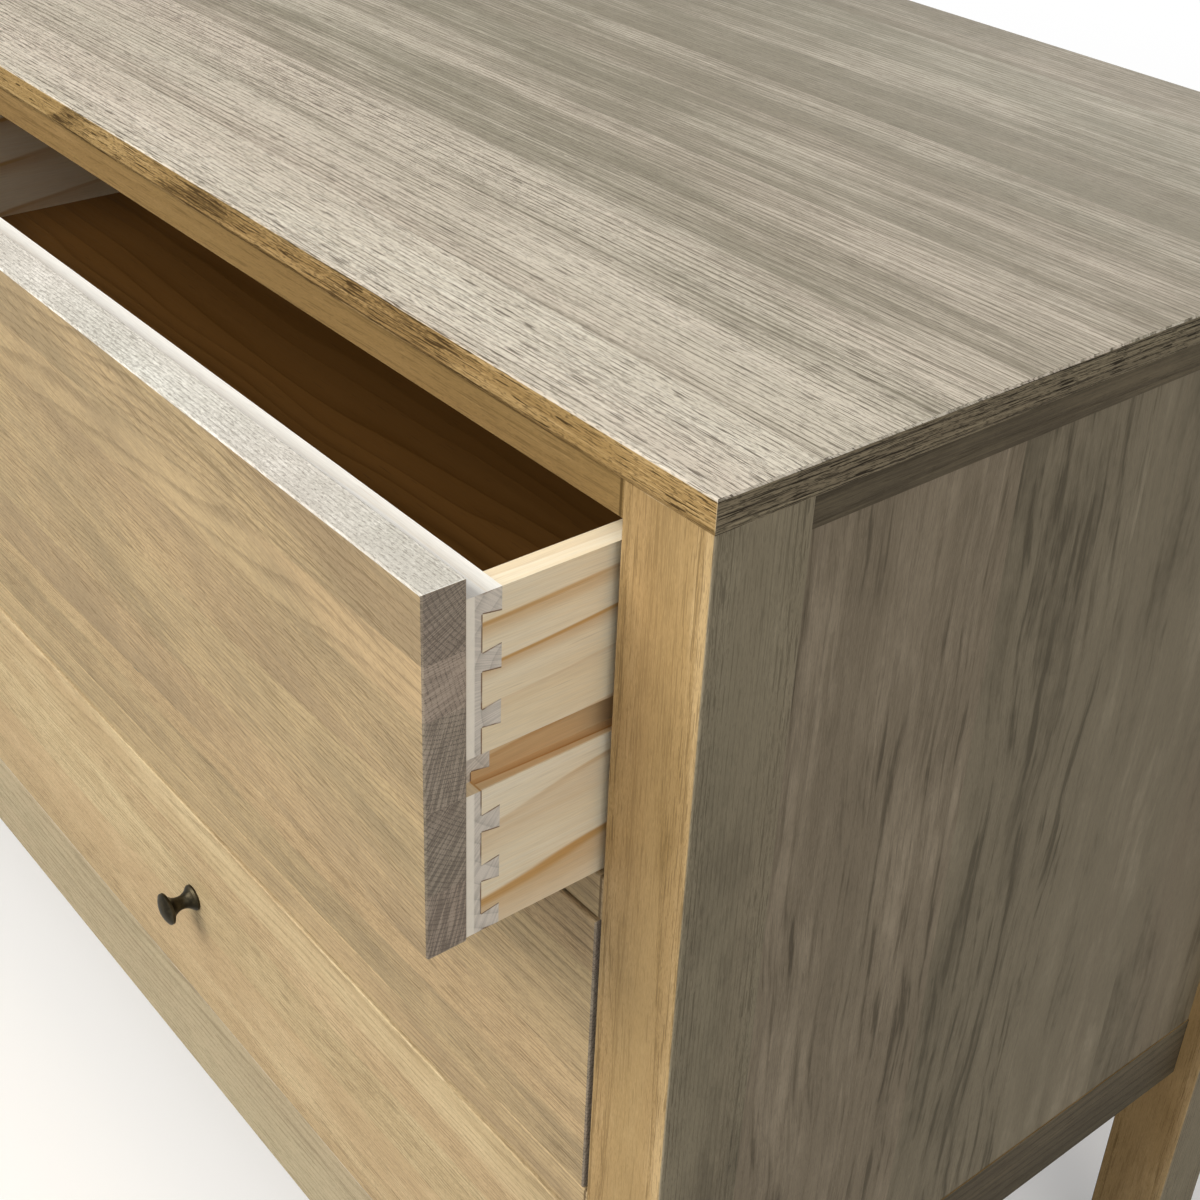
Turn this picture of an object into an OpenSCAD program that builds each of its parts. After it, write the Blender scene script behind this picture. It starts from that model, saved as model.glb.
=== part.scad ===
// Six-drawer dresser: an oak carcass of posts and rails with inset drawers.
// Each drawer is an oak front on a dovetailed pine box that slides on wooden side runners.
// Millimetres, +X to the right, +Y to the back, +Z up, standing on z = 0.

/* [Carcass] */
// Clear width of one drawer opening
opening_w = 742; // [500:1:850]
// Clear height of one drawer opening
opening_h = 161; // [140:0.5:220]
// Depth of the carcass, from the posts' front face to their back face
carcass_d = 498; // [480:1:600]
// Height of the front bottom rail's lower edge above the floor
foot_h = 135; // [90:1:200]
// Width and depth of the corner posts
post_w = 46; // [44:0.5:60]
// Radius on the posts' long edges
post_edge_r = 1.5; // [0.5:0.1:3]

/* [Top] */
// Thickness of the top board
top_t = 14; // [12:0.5:30]
// How far the top stands out over the posts, at the front and at both sides
top_overhang = 1.5; // [0.5:0.5:20]
// Chamfer round the top's upper edge
top_edge = 0.7; // [0.3:0.1:2]
// Height of the bevel round the top's lower edge
top_bevel = 2.4; // [1:0.1:4]

/* [Front frame] */
// Height of the rail under the top
top_rail_h = 16.5; // [13:0.5:40]
// Height of the rails between the rows of drawers
divider_h = 22; // [14:0.5:40]
// Height of the rail under the lowest drawers
bottom_rail_h = 72.5; // [50:0.5:110]
// Depth of the top rail, the dividers and the centre stile
rail_d = 44; // [40:1:46]
// Thickness of the front bottom rail
bottom_rail_t = 22; // [18:0.5:30]
// How far the rails and the stile lie behind the posts' front face
rail_setback = 1; // [0:0.1:1.5]
// Width of the stile between the two columns of drawers
stile_w = 40; // [34:1:60]
// Chamfer on the rails' and the stile's front edges
rail_edge = 0.6; // [0.2:0.1:1.5]
// Length of the tenons on rails and stile
tenon_l = 10; // [6:0.5:10]
// Shoulder round each tenon
tenon_shoulder = 4; // [2:0.5:5]

/* [Side frames] */
// How far the side rails lie behind the posts' outer face
side_recess = 16; // [6:0.5:16]
// Thickness of the side rails
side_rail_t = 18; // [16:0.5:22]
// Height of the side's top rail
side_top_rail_h = 27; // [22:0.5:60]
// Height of the side's bottom rail
side_bottom_rail_h = 45; // [24:0.5:80]
// How much higher the side's lower edge is than the front's
side_rise = 65; // [0:0.5:70]
// Thickness of the side panels
side_panel_t = 12; // [10:0.5:14]
// How far the side panels lie behind the side rails' face
side_panel_setback = 0.6; // [0.2:0.1:2]
// Thickness of the tongues on the side rails and panels
tongue_t = 7; // [5:0.5:8]
// Length of those tongues
tongue_l = 8; // [4:0.5:9]

/* [Back and centre] */
// Thickness of the back panel
back_t = 5; // [3:0.5:8]
// How far the back panel reaches into the rabbets of the rear posts
back_rabbet = 8; // [5:0.5:12]
// How far the back panel's front face lies before the posts' back face
back_inset = 8; // [8:0.5:14]
// Thickness of the back rails
back_rail_t = 20; // [16:0.5:24]
// Height of the back's top rail
back_top_rail_h = 45; // [30:1:80]
// Thickness of the partition between the columns
partition_t = 18; // [12:0.5:25]

/* [Drawer fronts] */
// Thickness of the oak drawer fronts
front_t = 18; // [15:0.5:24]
// Gap at each end of a drawer front
front_gap_x = 2.5; // [1.5:0.1:4]
// Gap above and below a drawer front
front_gap_z = 1.75; // [1:0.05:3]
// Chamfer round the drawer fronts
front_edge = 0.7; // [0.3:0.1:2]
// How far the top right drawer stands open
drawer_open = 80; // [0:1:300]

/* [Drawer boxes] */
// How far the box's sides lie inside the drawer front's ends
box_inset = 1.2; // [1:0.1:8]
// How much lower the box is than the drawer front's upper edge
box_drop = 9; // [5:0.5:20]
// Free space between the box of a closed drawer and the back panel
box_end_gap = 42; // [25:1:100]
// Thickness of the box's sides
box_side_t = 11; // [10:0.5:14]
// Thickness of the box's front board
box_front_t = 15; // [13:0.5:20]
// Thickness of the box's back board
box_back_t = 12; // [9:0.5:15]
// Depth of the dadoes that hold the back board
dado = 3; // [2:0.1:3.2]
// How far the sides run on behind the back board
side_tail = 6; // [3:0.5:12]
// Thickness of the drawer bottom
bottom_t = 6; // [4:0.5:8]
// Height of the bottom's underside above the box's lower edge
bottom_raise = 10; // [9.5:0.5:14]
// Depth of the grooves that hold the bottom
bottom_groove = 5; // [3:0.5:6]

/* [Dovetails] */
// Length of the tails
tail_l = 8; // [6:0.5:10]
// Tails on each side board
tails = 6; // [4:1:6]
// Height of a pin at its wide end
pin_h = 10.5; // [8:0.5:12]
// Slope of the pins' flanks, in degrees
pin_slope = 9; // [5:1:12]
// Distance of the end pins' centres from the box's edges
end_pin = 4.3; // [3:0.1:4.5]

/* [Runners] */
// Height of the groove along the outside of each box side
groove_h = 16.2; // [14:0.1:22]
// Depth of that groove
groove_depth = 6.5; // [5:0.1:7]
// Gap between a runner and the groove's upper face
runner_top_gap = 0.3; // [0.2:0.05:0.5]
// Gap between a runner and the groove's lower face
runner_low_gap = 0.7; // [0.3:0.1:1.5]
// Gap between a runner's edge and the groove's floor
runner_side_gap = 0.8; // [0.4:0.1:1.5]
// Gap between a closed drawer front and the runners' ends
runner_stop_gap = 0.5; // [0.3:0.1:2]

/* [Knobs and screws] */
// How far a knob stands out from the drawer front
knob_l = 21.5; // [20:0.5:32]
// Diameter of the knob's head
knob_d = 20; // [18:0.5:30]
// Height of the knob's head, with its rim and dome
knob_head_h = 6; // [5:0.5:9]
// Diameter of the knob's foot
knob_foot_d = 16.5; // [16:0.5:22]
// Height of the knob's foot
knob_foot_h = 2.4; // [1.5:0.1:4]
// Diameter of the knob's neck
knob_neck_d = 8.4; // [8:0.1:10]
// How much the neck widens towards the head and the foot, on each side
knob_flare = 3.2; // [2:0.1:3.5]
// How far a knob sits above the middle of its drawer front
knob_raise = 8; // [-20:1:20]
// Diameter of the screws
screw_d = 4; // [3:0.5:4.5]
// Diameter of the screws' heads
screw_head_d = 8; // [7:0.5:9]
// Height of the screws' heads
screw_head_h = 2.4; // [1.5:0.1:3]
// Chamfer round the rim of the round-headed screws in the drawers
screw_head_edge = 1; // [0.5:0.1:1.4]
// How deep a screw reaches into a knob or a drawer front
screw_grip = 12; // [8:0.5:13]
// Distance of the drawer front's fixing screws from the box's inner ends
fixing_in = 55; // [20:1:120]
// Distance of those screws from the box's upper and lower edges
fixing_edge = 35; // [25:1:50]
// How deep the carcass's screws reach into the second piece
carcass_grip = 7.5; // [5:0.5:8]
// Distance of the screws' rows from the partition and the posts
carcass_screw_in = 60; // [40:1:90]
// Distance of the outer runners' screws from the posts' inner edges, along Y
post_screw_in = 15; // [10:0.5:20]
// Screws of each back rail, on each side of the partition
back_screws = 3; // [2:1:5]

/* [Feet] */
// Diameter of the glides under the posts
glide_d = 30; // [20:1:40]
// Thickness of the glides
glide_h = 4; // [3:0.5:8]
// Chamfer round the glides' lower edge
glide_edge = 1.4; // [0.5:0.1:2.5]

/* [Hidden] */
$fn = 48;
COLUMNS = ["left", "right"];
ROWS = ["bottom", "middle", "top"];
DRAWERS = [for (row = [0 : len(ROWS) - 1]) for (column = [0 : len(COLUMNS) - 1]) [row, column]];
DRAWER_PIECES = ["front", "box_front", "box_sides", "box_back", "box_bottom", "knob", "screws"];
CARCASS_NODES = [
    "top_panel", "post_front_left", "post_front_right", "post_rear_left", "post_rear_right",
    "front_top_rail", "front_divider_rails", "front_bottom_rail", "centre_stile",
    "side_rails", "side_panel_left", "side_panel_right", "centre_partition",
    "back_rails", "back_panel", "drawer_runners", "carcass_screws", "foot_glides"
];

oak_top = "#b3a591";
oak_front = "#b89f72";
oak_side = "#85796a";
pine = "#e0c699";
plywood = "#7d5f3c";
bronze = "#4a4338";
steel = "silver";
plastic = "#3b3733";

// Clearance of a glued or pressed joint, on each side
fit = 0.05;
// Free length at the bottom of a mortise, groove or screw hole
end_play = 0.5;
// Anything that only has to reach past a face
past = 1;

// The carcass, from the floor up and from the front face back
frame_w = len(COLUMNS) * opening_w + stile_w;
half_w = frame_w / 2 + post_w;
row_pitch = opening_h + divider_h;
first_opening_z = foot_h + bottom_rail_h;
top_rail_z = first_opening_z + len(ROWS) * row_pitch - divider_h;
top_z = top_rail_z + top_rail_h;
front_y = (drawer_open + knob_l - carcass_d) / 2;
back_y = front_y + carcass_d;
rail_y = front_y + rail_setback;
back_face_y = back_y - back_inset;
back_rail_y = back_face_y - back_rail_t;
column_x = (opening_w + stile_w) / 2;

// The side frame, measured inwards from the posts' outer face
tongue_s = side_recess + side_panel_setback + (side_panel_t - tongue_t) / 2;
side_rail_z = foot_h + side_rise;
side_panel_z = side_rail_z + side_bottom_rail_h;
side_panel_top = top_z - side_top_rail_h;
side_span_y = front_y + post_w;
side_span = carcass_d - 2 * post_w;

// The drawer, from the middle of its opening's lower edge and from the front's face
box_l = carcass_d - back_inset - front_t - box_end_gap;
front_w = opening_w - 2 * front_gap_x;
front_h = opening_h - 2 * front_gap_z;
box_w = front_w - 2 * box_inset;
box_inner_w = box_w - 2 * box_side_t;
box_h = front_h - box_drop;
box_z = front_gap_z;
box_y = front_t;
box_back_y = front_t + box_l - side_tail - box_back_t;
bottom_z = box_z + bottom_raise;
tail_y = box_y + box_front_t - tail_l;
inner_y = box_y + box_front_t;
tail_pitch = (box_h - 2 * end_pin) / tails;
knob_z = opening_h / 2 + knob_raise;
fixing_x = box_inner_w / 2 - fixing_in;
fixing_dz = box_h / 2 - fixing_edge;

// The runners, in the drawer's frame
runner_z = box_z + (box_h - groove_h) / 2 + runner_low_gap;
runner_h = groove_h - runner_low_gap - runner_top_gap;
runner_t = (opening_w - box_w) / 2 + groove_depth - runner_side_gap;
runner_y = front_y + front_t + runner_stop_gap;
runner_end_y = back_face_y - end_play;
runner_face_x = stile_w / 2 + runner_t;

function drawer_node(d, piece) = str(ROWS[d[0]], "_", COLUMNS[d[1]], "_", piece);
function opening_z(row) = first_opening_z + row * row_pitch;
function is_open(d) = ROWS[d[0]] == "top" && COLUMNS[d[1]] == "right";
function side_of(column) = COLUMNS[column] == "left" ? -1 : 1;

// Puts a drawer's piece in its opening, and the open drawer's at its distance
module in_opening(d)
    translate([
        side_of(d[1]) * column_x,
        front_y - (is_open(d) ? drawer_open : 0),
        opening_z(d[0])
    ]) children();

// Extrudes a section drawn in Y and Z along +X
module along_x(length) rotate([90, 0, 90]) linear_extrude(length) children();

// Shows its children and their mirror image in the plane x = 0
module both_sides() {
    children();
    mirror([1, 0, 0]) children();
}

// A rectangle with its four corners cut by the same chamfer
module chamfered(w, h, c)
    polygon([[c, 0], [w - c, 0], [w, c], [w, h - c], [w - c, h], [c, h], [0, h - c], [0, c]]);

// A square with round corners
module rounded_square(w, r) {
    translate([r, 0]) square([w - 2 * r, w]);
    translate([0, r]) square([w, w - 2 * r]);
    for (x = [r, w - r], y = [r, w - r]) translate([x, y]) circle(r);
}

// The tenon at a rail's right end, from the end's face; grow gives its mortise
module tenon(deep, high, grow = 0)
    translate([-past * sign(grow), tenon_shoulder - grow, tenon_shoulder - grow])
        cube([
            tenon_l + (past + end_play) * sign(grow),
            deep - 2 * (tenon_shoulder - grow),
            high - 2 * (tenon_shoulder - grow)
        ]);

// A rail centred on x = 0, with eased front edges and a tenon at each end
module rail(length, deep, high) {
    translate([-length / 2, 0, 0]) along_x(length)
        polygon([
            [rail_edge, 0], [deep, 0], [deep, high], [rail_edge, high],
            [0, high - rail_edge], [0, rail_edge]
        ]);
    both_sides() translate([length / 2, 0, 0]) tenon(deep, high);
}

// The mortises of all front rails, as the right post's inner face sees them
module front_mortises() {
    translate([0, rail_y, top_rail_z]) tenon(rail_d, top_rail_h, fit);
    divider_mortises();
    translate([0, rail_y, foot_h]) tenon(bottom_rail_t, bottom_rail_h, fit);
}

// The mortises of the rails between the rows, from the inner face of a post or the stile
module divider_mortises()
    for (row = [1 : len(ROWS) - 1])
        translate([0, rail_y, opening_z(row) - divider_h]) tenon(rail_d, divider_h, fit);

// The mortises of the two back rails, from a rear post's inner face
module back_mortises() {
    translate([0, back_rail_y, top_z - back_top_rail_h]) tenon(back_rail_t, back_top_rail_h, fit);
    translate([0, back_rail_y, foot_h]) tenon(back_rail_t, bottom_rail_h, fit);
}

// The right posts' groove for the side frame's tongues, in x from their outer face
module side_groove()
    translate([half_w - tongue_s - tongue_t - fit, side_span_y - tongue_l - end_play, side_rail_z])
        cube([tongue_t + 2 * fit, side_span + 2 * (tongue_l + end_play), top_z - side_rail_z + past]);

// A right post from its glide up to the underside of the top, with the hole for the glide's stem
module post_body()
    translate([frame_w / 2, 0, glide_h]) difference() {
        linear_extrude(top_z - glide_h) rounded_square(post_w, post_edge_r);
        translate([post_w / 2, post_w / 2, -past])
            cylinder(d = screw_d + 2 * fit, h = screw_grip + end_play + past);
    }

// A front post, cut for the front rails, the side frame and the runners' screws
module post_front()
    difference() {
        translate([0, front_y, 0]) post_body();
        translate([frame_w / 2, 0, 0]) front_mortises();
        side_groove();
        at_post_screws() countersunk(runner_t, true);
    }

// A rear post, cut for the back rails, the side frame, the screws and the back panel
module post_rear()
    difference() {
        translate([0, back_y - post_w, 0]) post_body();
        translate([frame_w / 2, 0, 0]) back_mortises();
        side_groove();
        at_post_screws() countersunk(runner_t, true);
        translate([frame_w / 2 - past, back_face_y, foot_h])
            cube([back_rabbet + end_play + past, back_inset + past, top_z - foot_h + past]);
    }

module post_front_left() color(oak_front) mirror([1, 0, 0]) post_front();

module post_front_right() color(oak_front) post_front();

module post_rear_left() color(oak_side) mirror([1, 0, 0]) post_rear();

module post_rear_right() color(oak_side) post_rear();

// Section of the top: a small chamfer above, and a bevel below that leans in by half its height
module top_section(w)
    polygon([
        [top_bevel / 2, 0], [w - top_bevel / 2, 0], [w, top_bevel], [w, top_t - top_edge],
        [w - top_edge, top_t], [top_edge, top_t], [0, top_t - top_edge], [0, top_bevel]
    ]);

// The top board: its section runs both ways, so the profile goes round all four edges
module top_panel()
    color(oak_top) difference() {
        translate([-half_w - top_overhang, front_y - top_overhang, top_z]) intersection() {
            along_x(2 * (half_w + top_overhang)) top_section(carcass_d + top_overhang);
            translate([0, carcass_d + top_overhang, 0]) rotate([90, 0, 0])
                linear_extrude(carcass_d + top_overhang) top_section(2 * (half_w + top_overhang));
        }
        at_top_screws() countersunk(top_rail_h, true);
    }

module front_top_rail()
    color(oak_front) difference() {
        translate([0, rail_y, top_rail_z]) rail(frame_w, rail_d, top_rail_h);
        stile_tenons(fit);
        at_top_screws() countersunk(top_rail_h, true);
    }

// The rails between the rows: two in each column, between post and stile
module front_divider_rails()
    color(oak_front) both_sides()
        for (row = [1 : len(ROWS) - 1])
            translate([column_x, rail_y, opening_z(row) - divider_h]) rail(opening_w, rail_d, divider_h);

// The rail under the lowest drawers, thinner than the others
module front_bottom_rail()
    color(oak_front) difference() {
        translate([0, rail_y, foot_h]) rail(frame_w, bottom_rail_t, bottom_rail_h);
        stile_tenons(fit);
    }

// The centre stile's upper and lower tenons; grow gives their mortises
module stile_tenons(grow = 0) {
    w = stile_w - 2 * (tenon_shoulder - grow);
    y = rail_y + tenon_shoulder - grow;
    reach = tenon_l + end_play * sign(grow);
    translate([-w / 2, y, top_rail_z - past * sign(grow)])
        cube([w, rail_d - 2 * (tenon_shoulder - grow), reach + past * sign(grow)]);
    translate([-w / 2, y, first_opening_z - reach])
        cube([w, bottom_rail_t - 2 * (tenon_shoulder - grow), reach + past * sign(grow)]);
}

// The stile between the columns, tenoned into the top and the bottom rail
module centre_stile()
    color(oak_front) difference() {
        union() {
            translate([-stile_w / 2, rail_y, first_opening_z])
                linear_extrude(top_rail_z - first_opening_z)
                    polygon([
                        [rail_edge, 0], [stile_w - rail_edge, 0], [stile_w, rail_edge],
                        [stile_w, rail_d], [0, rail_d], [0, rail_edge]
                    ]);
            stile_tenons();
        }
        both_sides() translate([-stile_w / 2, 0, 0]) divider_mortises();
    }

// A side rail or panel: its body between the posts, with a tongue into both
module side_piece(recess, thick, z, high)
    translate([half_w - recess - thick, side_span_y, z]) {
        cube([thick, side_span, high]);
        translate([recess + thick - tongue_s - tongue_t, -tongue_l, 0])
            cube([tongue_t, side_span + 2 * tongue_l, high]);
    }

// The tongues above and below the side panel; grow gives the rails' grooves
module panel_tongue(grow = 0)
    translate([half_w - tongue_s - tongue_t - grow, side_span_y - tongue_l - end_play * sign(grow),
               side_panel_z - tongue_l - end_play * sign(grow)])
        cube([
            tongue_t + 2 * grow,
            side_span + 2 * (tongue_l + end_play * sign(grow)),
            side_panel_top - side_panel_z + 2 * (tongue_l + end_play * sign(grow))
        ]);

// The side frames' rails, two a side, grooved for the panel
module side_rails()
    color(oak_side) both_sides() difference() {
        union() {
            side_piece(side_recess, side_rail_t, side_rail_z, side_bottom_rail_h);
            side_piece(side_recess, side_rail_t, side_panel_top, side_top_rail_h);
        }
        panel_tongue(fit);
    }

// The right side panel, with a tongue on all four edges
module side_panel() {
    side_piece(side_recess + side_panel_setback, side_panel_t,
               side_panel_z, side_panel_top - side_panel_z);
    panel_tongue();
}

module side_panel_left() color(oak_side) mirror([1, 0, 0]) side_panel();

module side_panel_right() color(oak_side) side_panel();

// The partition stands behind the stile and is notched for the stile and the back rails
module centre_partition()
    color(pine) difference() {
        translate([-partition_t / 2, 0, 0]) along_x(partition_t)
            polygon([
                [rail_y + bottom_rail_t, foot_h],
                [rail_y + bottom_rail_t, first_opening_z],
                [rail_y + rail_d, first_opening_z],
                [rail_y + rail_d, top_z],
                [back_rail_y, top_z],
                [back_rail_y, top_z - back_top_rail_h],
                [back_face_y, top_z - back_top_rail_h],
                [back_face_y, first_opening_z],
                [back_rail_y, first_opening_z],
                [back_rail_y, foot_h]
            ]);
        both_sides() at_partition_screws() countersunk(runner_face_x - partition_t / 2, true);
        at_back_screws() countersunk(back_t, true);
    }

// The back's top and bottom rail, tenoned into the rear posts
module back_rails()
    color(pine) difference() {
        union() {
            translate([0, back_rail_y, top_z - back_top_rail_h])
                rail(frame_w, back_rail_t, back_top_rail_h);
            translate([0, back_rail_y, foot_h]) rail(frame_w, back_rail_t, bottom_rail_h);
        }
        at_back_screws() countersunk(back_t, true);
    }

// The thin panel that closes the back, screwed to the back rails and the partition
module back_panel()
    color(plywood) difference() {
        translate([-frame_w / 2 - back_rabbet, back_face_y, foot_h])
            cube([frame_w + 2 * back_rabbet, back_t, top_z - foot_h]);
        at_back_screws() countersunk(back_t, true);
    }

// One column's two runners: against the post, and round the stile against the partition
module runner_pair()
    linear_extrude(runner_h) {
        translate([frame_w / 2 - runner_t, runner_y]) square([runner_t, runner_end_y - runner_y]);
        polygon([
            [stile_w / 2, runner_y], [runner_face_x, runner_y],
            [runner_face_x, back_rail_y], [partition_t / 2, back_rail_y],
            [partition_t / 2, rail_y + rail_d], [stile_w / 2, rail_y + rail_d]
        ]);
    }

// All twelve runners, one under the groove of each box side
module drawer_runners()
    color(oak_side) both_sides() difference() {
        for (row = [0 : len(ROWS) - 1]) translate([0, 0, opening_z(row) + runner_z]) runner_pair();
        at_post_screws() countersunk(runner_t, true);
        at_partition_screws() countersunk(runner_face_x - partition_t / 2, true);
    }

// A countersunk screw along +Z through a first piece into a second, or the hole for it
module countersunk(through, hole = false) {
    r = screw_d / 2 + (hole ? fit : 0);
    head_r = screw_head_d / 2 + (hole ? fit : 0);
    end = through + carcass_grip + (hole ? end_play : 0);
    start = hole ? -past : 0;
    rotate_extrude()
        polygon([[0, start], [head_r, start], [head_r, 0], [r, screw_head_h], [r, end], [0, end]]);
}

// The heights of the runners' middles, where their screws are
module at_runner_heights()
    for (row = [0 : len(ROWS) - 1]) translate([0, 0, opening_z(row) + runner_z + runner_h / 2]) children();

// Where the outer runners are screwed to the right posts
module at_post_screws()
    at_runner_heights()
        for (y = [side_span_y - post_screw_in, side_span_y + side_span + post_screw_in])
            translate([frame_w / 2 - runner_t, y, 0]) rotate([0, 90, 0]) children();

// Where the right column's inner runners are screwed to the partition
module at_partition_screws()
    at_runner_heights()
        for (y = [rail_y + rail_d + carcass_screw_in, back_rail_y - carcass_screw_in])
            translate([runner_face_x, y, 0]) rotate([0, -90, 0]) children();

// Where the top is held from below, through the front top rail
module at_top_screws()
    for (x = [-1, 1], near = [carcass_screw_in, opening_w / 2, opening_w - carcass_screw_in])
        translate([x * (stile_w / 2 + near), rail_y + rail_d / 2, top_rail_z]) children();

// Where the back panel is held, along both back rails and at the partition
module at_back_screws()
    translate([0, back_face_y + back_t, 0]) {
        spread = (frame_w / 2 - carcass_screw_in) / back_screws;
        for (side = [-1, 1], k = [1 : back_screws])
            for (z = [foot_h + bottom_rail_h / 2, top_z - back_top_rail_h / 2])
                translate([side * k * spread, 0, z]) rotate([90, 0, 0]) children();
        translate([0, 0, (first_opening_z + top_z) / 2]) rotate([90, 0, 0]) children();
    }

// The countersunk screws of the runners, the top and the back panel
module carcass_screws()
    color(steel) {
        both_sides() {
            at_post_screws() countersunk(runner_t);
            at_partition_screws() countersunk(runner_face_x - partition_t / 2);
        }
        at_top_screws() countersunk(top_rail_h);
        at_back_screws() countersunk(back_t);
    }

// A disc with a stem that is driven into the foot of each post
module foot_glides()
    color(plastic)
        for (x = [-1, 1], y = [front_y + post_w / 2, back_y - post_w / 2])
            translate([x * (half_w - post_w / 2), y, 0]) rotate_extrude()
                polygon([
                    [0, 0], [glide_d / 2 - glide_edge, 0], [glide_d / 2, glide_edge],
                    [glide_d / 2, glide_h], [screw_d / 2, glide_h],
                    [screw_d / 2, glide_h + screw_grip], [0, glide_h + screw_grip]
                ]);

// A hole along Y for a screw, from one distance behind the drawer's face to another
module screw_hole(y0, y1)
    translate([0, y1, 0]) rotate([90, 0, 0]) cylinder(d = screw_d + 2 * fit, h = y1 - y0);

// Where the drawer front is screwed to the box front from inside
module at_fixings()
    for (x = [-fixing_x, fixing_x], dz = [-fixing_dz, fixing_dz])
        translate([x, 0, box_z + box_h / 2 + dz]) children();

// The solid oak front, with holes for the knob's screw and the fixing screws
module drawer_front()
    color(oak_front) difference() {
        translate([-front_w / 2, 0, front_gap_z]) intersection() {
            along_x(front_w) chamfered(front_t, front_h, front_edge);
            linear_extrude(front_h) chamfered(front_w, front_t, front_edge);
        }
        translate([0, 0, knob_z]) screw_hole(-past, front_t + past);
        at_fixings() screw_hole(front_t - screw_grip - end_play, front_t + past);
    }

// Section of all the pins, in Y and Z; grow widens them by the joint's clearance
module pins(grow) {
    wide = pin_h / 2 + grow;
    narrow = wide - tail_l * tan(pin_slope);
    for (k = [0 : tails]) translate([tail_y, box_z + end_pin + k * tail_pitch])
        polygon([[0, -narrow], [tail_l, -wide], [tail_l, wide], [0, narrow]]);
    for (z = [box_z - past, box_z + box_h - end_pin])
        translate([tail_y, z]) square([tail_l, end_pin + past]);
}

// Section of a side board's tails, or of the sockets they fill
module tail_section(grow)
    difference() {
        translate([tail_y, box_z]) square([tail_l, box_h]);
        pins(grow);
    }

// The grooves for the runners, along both outer faces of the box
module runner_grooves()
    both_sides()
        translate([box_w / 2 - groove_depth, box_y - past, box_z + (box_h - groove_h) / 2])
            cube([groove_depth + past, box_l + 2 * past, groove_h]);

// The drawer bottom, from the box front's groove to under the box back
module bottom_board(grow = 0)
    translate([-box_inner_w / 2 - bottom_groove, inner_y - bottom_groove, bottom_z]) {
        inset = grow > 0 ? 0 : end_play;
        translate([inset, inset, 0])
            cube([
                box_inner_w + 2 * (bottom_groove - inset),
                box_l - box_front_t + bottom_groove - inset - (grow > 0 ? 0 : side_tail),
                bottom_t
            ]);
    }

// The box's front board, with the dovetails' sockets in its ends
module box_front()
    color(pine) difference() {
        translate([-box_w / 2, box_y, box_z]) cube([box_w, box_front_t, box_h]);
        both_sides() translate([box_inner_w / 2, 0, 0]) along_x(box_side_t + past) tail_section(-fit / 2);
        runner_grooves();
        bottom_board(fit);
        translate([0, 0, knob_z]) screw_hole(box_y - past, inner_y + past);
        at_fixings() screw_hole(box_y - past, inner_y + past);
    }

// The box's two sides, with their tails, the runner groove, and a dado for the back
module box_sides()
    color(pine) difference() {
        both_sides() translate([box_inner_w / 2, 0, 0]) {
            along_x(box_side_t) tail_section(fit / 2);
            translate([0, inner_y, box_z]) cube([box_side_t, box_l - box_front_t, box_h]);
        }
        runner_grooves();
        bottom_board(fit);
        translate([-box_inner_w / 2 - dado, box_back_y, bottom_z + bottom_t])
            cube([box_inner_w + 2 * dado, box_back_t, box_h]);
    }

// The box's back board, which stands on the drawer bottom
module box_back()
    color(pine)
        translate([-box_inner_w / 2 - dado, box_back_y, bottom_z + bottom_t])
            cube([box_inner_w + 2 * dado, box_back_t, box_h - bottom_raise - bottom_t]);

module box_bottom() color(plywood) bottom_board();

// Section of the knob, from its foot on the drawer front to its domed head
module knob_section() {
    head_r = knob_d / 2;
    head_z = knob_l - knob_head_h;
    rim_z = knob_l - knob_head_h / 2;
    dome_h = knob_l - rim_z;
    dome_r = (head_r * head_r + dome_h * dome_h) / (2 * dome_h);
    neck_end_r = knob_neck_d / 2 + knob_flare;
    half_neck = (head_z - knob_foot_h) / 2;
    waist_r = (knob_flare * knob_flare + half_neck * half_neck) / (2 * knob_flare);
    difference() {
        union() {
            polygon([
                [0, 0], [knob_foot_d / 2, 0], [knob_foot_d / 2, knob_foot_h / 2],
                [neck_end_r, knob_foot_h], [0, knob_foot_h]
            ]);
            translate([0, knob_foot_h]) square([neck_end_r, 2 * half_neck]);
            polygon([
                [0, head_z], [neck_end_r, head_z], [head_r, (head_z + rim_z) / 2],
                [head_r, rim_z], [0, rim_z]
            ]);
            intersection() {
                translate([0, knob_l - dome_r]) circle(dome_r);
                translate([0, rim_z]) square([head_r, dome_h]);
            }
        }
        translate([knob_neck_d / 2 + waist_r, knob_foot_h + half_neck]) circle(waist_r);
        translate([0, -past]) square([screw_d / 2 + fit, screw_grip + end_play + past]);
    }
}

// The turned knob, its axis along Y
module knob()
    color(bronze) translate([0, 0, knob_z]) rotate([90, 0, 0]) rotate_extrude() knob_section();

// A screw pointing forward, with its head's seat at y = 0
module screw(length)
    rotate([90, 0, 0]) rotate_extrude()
        polygon([
            [0, -screw_head_h], [screw_head_d / 2 - screw_head_edge, -screw_head_h],
            [screw_head_d / 2, screw_head_edge - screw_head_h], [screw_head_d / 2, 0],
            [screw_d / 2, 0], [screw_d / 2, length], [0, length]
        ]);

// The knob's screw and the four screws that hold the drawer front to the box
module drawer_screws()
    color(steel) translate([0, inner_y, 0]) {
        translate([0, 0, knob_z]) screw(inner_y + screw_grip);
        at_fixings() screw(box_front_t + screw_grip);
    }

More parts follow.
